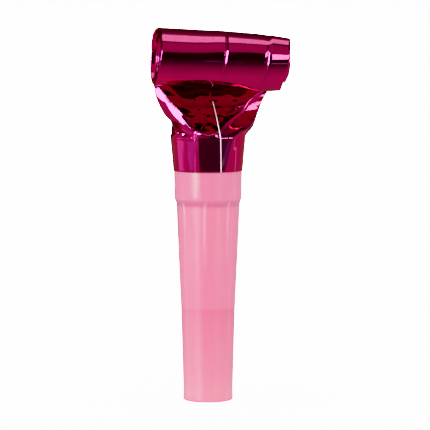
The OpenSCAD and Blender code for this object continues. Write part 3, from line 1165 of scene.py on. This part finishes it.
@dataclass
class Mouthpiece:
    """The moulded tube with its mouth rim, step and ribs.

    Stations pair a height with a radius, and rows are the heights of the wall's rings. The mouth, step
    and bore edges pair an offset from the wall's radius with a height, from step_z at the step.
    """

    palette: Palette
    wall: float = 1.0
    step_z: float = 53.6
    step_slope: float = 1.1
    low_stations: Stations = ((0.0, 6.5), (24.0, 7.15), (36.0, 7.7), (53.6, 8.25))
    high_stations: Stations = ((53.6, 8.85), (69.5, 9.25))
    mouth_edge: Stations = ((-0.35, 0.0), (-0.1, 0.03), (0.06, 0.12), (0.12, 0.3), (0.14, 1.1))
    low_rows: tuple[float, ...] = (
        3, 4, 6, 8, 12, 16, 20, 23, 24, 25, 28, 32, 35, 36, 37, 38, 40, 42, 44, 46, 48, 50, 51.6, 52.35,
    )
    step_edge: Stations = ((-0.12, -0.2), (-0.03, -0.02), (0.0, 0.15))
    step_fillet: float = 0.05
    high_rows: tuple[float, ...] = (54.5, 57, 60, 64, 68, 69.25)
    top_edge: Stations = ((9.15, 69.45), (9.0, 69.5), (7.65, 69.5), (7.25, 53.6))
    inner_rows: tuple[float, ...] = (50, 44, 36, 30, 24, 16, 8, 0.4)
    bore_edge: Stations = ((0.05, 0.15), (0.2, 0.02))
    rib_count: int = 8
    rib_width: float = 1.2
    rib_turn_deg: float = 15.7
    rib_foot_z: float = 36.0
    rib_rise_low: float = 0.05
    rib_rise_high: float = 0.25
    rib_onset: float = 0.08
    spin_steps: int = 240
    weld: float = 0.0001

    def outline(self) -> list[Pair]:
        """Draws the wall's outline.

        Returns:
            Radius and height of its corners, up the outside and down the inside.
        """
        foot, top = self.low_stations[0][1], self.high_stations[0][1]
        below = self.step_z - self.step_slope
        outside = [(foot + off, z) for off, z in self.mouth_edge]
        outside += [(read_off(self.low_stations, z), z) for z in self.low_rows]
        outside += [(read_off(self.low_stations, below) + self.step_fillet, below)]
        outside += [(top + off, self.step_z + rise) for off, rise in self.step_edge]
        outside += [(read_off(self.high_stations, z), z) for z in self.high_rows]
        inside = [(read_off(self.low_stations, z) - self.wall, z) for z in self.inner_rows]
        inside += [(foot - self.wall + off, z) for off, z in self.bore_edge]
        return outside + list(self.top_edge) + inside

    def rib_lift(self, x: float, y: float, z: float) -> float:
        """Reads how far a rib lifts the outer wall.

        Args:
            x: The point's X.
            y: Its Y.
            z: Its height.

        Returns:
            The rise there.
        """
        if not self.rib_foot_z < z < self.step_z - self.step_slope / 2:
            return 0.0
        radius = math.hypot(x, y)
        if radius < read_off(self.low_stations, z) - self.wall / 2:
            return 0.0
        pitch = 360 / self.rib_count
        turn = math.degrees(math.atan2(x, -y)) + self.rib_turn_deg
        off = (turn + pitch / 2) % pitch - pitch / 2
        share = (z - self.rib_foot_z) / (self.step_z - self.rib_foot_z)
        rise = mix(self.rib_rise_low, self.rib_rise_high, share) * ease(0, self.rib_onset, share)
        return rise * bump(math.radians(off) * radius, self.rib_width / 2)

    def build(self) -> None:
        """Spins the wall round, lifts the ribs and dresses the tube."""
        bm = bmesh.new()
        points = self.outline()
        verts = [bm.verts.new((r, 0.0, z)) for r, z in points]
        for a, b in zip(verts, verts[1:] + verts[:1]):
            bm.edges.new((a, b))
        bmesh.ops.spin(bm, geom=bm.verts[:] + bm.edges[:], cent=(0, 0, 0), axis=(0, 0, 1),
                       angle=math.tau, steps=self.spin_steps, use_merge=True, use_duplicate=False)
        # The rib mask holds each rib's lift and places the painted highlight on the ribs' crests.
        rib_highlight_mask = bm.verts.layers.float.new(RIB_HIGHLIGHT_MASK)
        for vert in bm.verts:
            x, y, z = vert.co
            radius = math.hypot(x, y)
            lift = self.rib_lift(x, y, z)
            vert[rib_highlight_mask] = lift / self.rib_rise_high
            share = 1 + lift / radius
            vert.co = (x * share, y * share, z)
        bmesh.ops.scale(bm, vec=(MM, MM, MM), verts=bm.verts[:])
        bmesh.ops.remove_doubles(bm, verts=bm.verts[:], dist=self.weld * MM)
        bmesh.ops.recalc_face_normals(bm, faces=bm.faces[:])
        shell = link_piece("mouthpiece_shell", bm, self.palette.tube)
        mount(shell, Slot.TUBE, "mouthpiece_tube")
        log.info("mouthpiece_shell: %d corners", len(shell.data.vertices))


@dataclass
class ReedInsert:
    """The turned barrel and the reed inside it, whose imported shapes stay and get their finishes."""

    palette: Palette

    def build(self) -> None:
        """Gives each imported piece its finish."""
        finishes = {
            "reed_barrel": self.palette.insert,
            "reed_trough": self.palette.reed_holder,
            "reed_wedge": self.palette.reed_holder,
            "reed_tongue": self.palette.tongue,
            "glue_band": self.palette.glue,
        }
        for node, material in finishes.items():
            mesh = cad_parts[node].data
            mesh.materials.clear()
            mesh.materials.append(material)
            log.info("%s: %s", node, material.name)


@dataclass(frozen=True)
class SoftBox:
    """An upright soft box that only mirrors see: its angles in degrees, and its light."""

    azimuth: float
    half_width: float
    low: float
    high: float
    light: Triple


@dataclass
class Surroundings:
    """What the foil mirrors, in bands, walls and soft boxes, and an even light for the rest.

    X, y and z are those of the direction, as a unit vector. A pair of them holds the limits between
    which something sets in. Sky stops are degrees round the X axis, 0 at the front, and a light. The
    fades are the degrees over which a soft box goes dark at its sides and its rims.
    """

    sky_stops: Stations = (
        (-180, 0.12), (-165, 0.2), (-130, 0.6), (-75, 0.66), (-55, 0.5), (-37, 0.33), (-20, 0.09),
        (-4, 0.03), (0, 0.022), (20, 0.022), (23.5, 0.45), (44, 0.56), (62, 0.5), (64.5, 0.08),
        (66.5, 0.08), (68.5, 1.5), (98, 1.5), (104, 0.45), (113, 0.2), (130, 0.14), (180, 0.12),
    )
    sky_top: float = 2.0
    flank_x: float = 0.08
    flank_side: Pair = (0.35, 0.42)
    flank_z: Pair = (0.5, 0.6)
    flank_level: float = 0.1
    rear_y: Pair = (0.2, 0.5)
    rear_spread: float = 1.8
    left_wall: Pair = (0.58, 0.64)
    right_wall: Pair = (0.76, 0.82)
    wall_top: Pair = (0.3, 0.55)
    wall_levels: Pair = (0.62, 0.1)
    corner: tuple[Pair, Pair, Pair] = ((0.1, 0.3), (0.3, 0.45), (-0.08, 0.0))
    corner_level: float = 0.2
    bright_levels: Pair = (0.7, 1.5)
    bright_tint: Triple = (1.0, 5.2, 2.3)
    even_light: float = 1.05
    backdrop_light: float = 6.0
    side_fade: float = 2.0
    rim_fade: float = 1.0
    soft_boxes: tuple[SoftBox, ...] = (
        SoftBox(-53, 15, -4, 30, (10, 80, 46)),
        SoftBox(38.5, 14, 3, 21, (5, 28, 15)),
        SoftBox(-56.5, 18.5, -13.5, -7.5, (0.15, 1.1, 1)),
        SoftBox(35, 17, -12.6, -7, (0.15, 0.9, 0.5)),
        SoftBox(-55, 2.5, -18, -13.2, (3, 14, 10)),
        SoftBox(-97, 27, -12, -6, (0.62, 1.9, 1.8)),
        SoftBox(-56, 9, -12, -6, (0.4, 2.6, 2.5)),
        SoftBox(28.5, 5, -12, -6, (0.15, 2.3, 0.5)),
        SoftBox(92.5, 2.5, -35, 50, (0.7, 3, 1.6)),
    )

    def __post_init__(self) -> None:
        """Makes the empty world and takes its direction apart."""
        world = bpy.data.worlds.new("studio")
        world.use_nodes = True
        world.node_tree.nodes.clear()
        bpy.context.scene.world = world
        self.w = Wiring(world.node_tree)
        direction = self.w.add("TexCoord").outputs["Generated"]
        self.x, self.y, self.z = self.w.add("SeparateXYZ", {"Vector": direction}).outputs
        self.front = self.w.times(self.y, -1.0)

    def bands(self) -> NodeSocket:
        """Builds the bands that go over the roll from the back to the front.

        Returns:
            Their light.
        """
        w = self.w
        over = w.calculate("ARCTAN2", self.z, self.front)
        share = w.calculate("MULTIPLY_ADD", over, 1 / math.tau, 0.5)
        stops = [((deg + 180) / 360, level / self.sky_top) for deg, level in self.sky_stops]
        aside = w.window(w.gap(self.x, self.flank_x), *self.flank_side)
        flank = w.times(w.window(self.z, *self.flank_z), aside)
        return w.times(w.dim(w.ramp(share, stops), flank, self.flank_level), self.sky_top)

    def walls(self) -> tuple[NodeSocket, NodeSocket]:
        """Builds the walls to the left and right.

        Returns:
            Where they stand, from 0 to 1, and their light.
        """
        w = self.w
        across = w.dim(self.x, w.window(self.y, *self.rear_y), self.rear_spread)
        left = w.window(w.times(across, -1.0), *self.left_wall)
        stand = w.calculate("ADD", w.window(across, *self.right_wall), left)
        level = w.span(w.window(self.z, *self.wall_top), *self.wall_levels)
        corner = w.window(w.times(self.x, -1.0), *self.corner[0])
        for axis, limits in zip((self.y, self.z), self.corner[1:]):
            corner = w.times(corner, w.window(axis, *limits))
        return stand, w.dim(level, corner, self.corner_level)

    def boxes(self, light: NodeSocket) -> NodeSocket:
        """Adds the soft boxes.

        Args:
            light: The light so far.

        Returns:
            The light with theirs.
        """
        w = self.w
        around = w.calculate("DEGREES", w.calculate("ARCTAN2", self.x, self.front))
        rise = w.calculate("DEGREES", w.calculate("ARCSINE", self.z))
        for box in self.soft_boxes:
            inner = box.half_width - min(self.side_fade, box.half_width / 2)
            lit = w.window(w.gap(around, box.azimuth), box.half_width, inner)
            lit = w.times(lit, w.window(rise, box.low, box.low + self.rim_fade))
            lit = w.times(lit, w.window(rise, box.high, box.high - self.rim_fade))
            light = w.feed("VectorMath", {0: lit, 1: box.light, 2: light}, operation="MULTIPLY_ADD")
        return light

    def build(self) -> None:
        """Joins the lights to the world's output."""
        w = self.w
        stand, wall = self.walls()
        level = w.feed("Mix", {0: stand, 2: self.bands(), 3: wall}, data_type="FLOAT")
        tint = w.blend(w.window(level, *self.bright_levels), WHITE, (*self.bright_tint, 1.0))
        mirrored = w.feed("Background", {"Color": self.boxes(w.scale(tint, level))})
        even = w.feed("Background", {"Color": WHITE, "Strength": self.even_light})
        seen = w.feed("Background", {"Color": WHITE, "Strength": self.backdrop_light})
        path = w.add("LightPath").outputs
        both = w.feed("MixShader", {0: path["Is Glossy Ray"], 1: even, 2: mirrored})
        final = w.feed("MixShader", {0: path["Is Camera Ray"], 1: both, 2: seen})
        w.add("OutputWorld", {"Surface": final})


@dataclass
class Studio:
    """The pale floor, the soft light and the camera at the photograph's angle."""

    floor_half: float = 15.0
    floor_glow: float = 4.0
    floor_tones: Pair = (0.9, 0.92)
    floor_limits: Pair = (0.3, 0.7)
    floor_grain: float = 40.0
    floor_detail: float = 3.0
    floor_roughness: float = 0.9
    lamp_energy: float = 3.6
    lamp_spread_deg: float = 60.0
    lamp_tilt_deg: float = 24.0
    lamp_turn_deg: float = -25.0
    sensor_width: float = 36.0
    clip: Pair = (0.05, 100.0)

    def camera(self) -> None:
        """Stands the camera where the photograph was taken from."""
        data = bpy.data.cameras.new("photo_camera")
        data.sensor_width = self.sensor_width
        data.lens = VIEWPOINT.focal_px / VIEWPOINT.frame_px * data.sensor_width
        data.clip_start, data.clip_end = self.clip
        camera = bpy.data.objects.new("photo_camera", data)
        camera.location = VIEWPOINT.eye * MM
        camera.rotation_euler = (math.radians(90 - VIEWPOINT.pitch_deg), 0.0, VIEWPOINT.turn)
        bpy.context.scene.collection.objects.link(camera)
        bpy.context.scene.camera = camera

    def floor(self) -> None:
        """Lays the plain pale floor."""
        bm = bmesh.new()
        bmesh.ops.create_grid(bm, x_segments=2, y_segments=2, size=self.floor_half)
        material, w, place = blank_material("pale_floor")
        grain = w.feed("TexNoise", {"Vector": place, "Scale": self.floor_grain, "Detail": self.floor_detail})
        tone = w.ramp(grain, list(zip(self.floor_limits, self.floor_tones)))
        close_material(w, w.feed("BsdfPrincipled", {
            "Base Color": tone, "Roughness": self.floor_roughness, "Specular IOR Level": 0.0,
            "Emission Color": WHITE, "Emission Strength": self.floor_glow,
        }))
        floor = link_piece("studio_floor", bm, material)
        floor.visible_glossy = floor.visible_diffuse = False

    def lamp(self) -> None:
        """Hangs the broad soft lamp over the object, which mirrors don't show."""
        data = bpy.data.lights.new("overhead_soft_light", "SUN")
        data.energy = self.lamp_energy
        data.angle = math.radians(self.lamp_spread_deg)
        lamp = bpy.data.objects.new("overhead_soft_light", data)
        turn, tilt = math.radians(self.lamp_turn_deg), math.radians(self.lamp_tilt_deg)
        out = math.sin(tilt)
        towards = Vector((math.sin(turn) * out, -math.cos(turn) * out, math.cos(tilt)))
        lamp.rotation_euler = towards.to_track_quat("Z", "Y").to_euler()
        lamp.visible_glossy = False
        bpy.context.scene.collection.objects.link(lamp)

    def build(self) -> None:
        """Sets up the camera, the floor and the light."""
        self.camera()
        self.floor()
        Surroundings().build()
        self.lamp()
        scene = bpy.context.scene
        scene.view_settings.view_transform = "Khronos PBR Neutral"
        scene.view_settings.look = "None"
        log.info("studio: camera, floor, surroundings and lamp")


def main() -> None:
    """Builds the studio and every piece."""
    logging.basicConfig(level=logging.INFO, format="%(name)s %(message)s")
    palette = Palette()
    Studio().build()
    for part in (Mouthpiece, ReedInsert, FoilNeck, WoundStrip):
        part(palette).build()


if __name__ == "__main__":
    main()
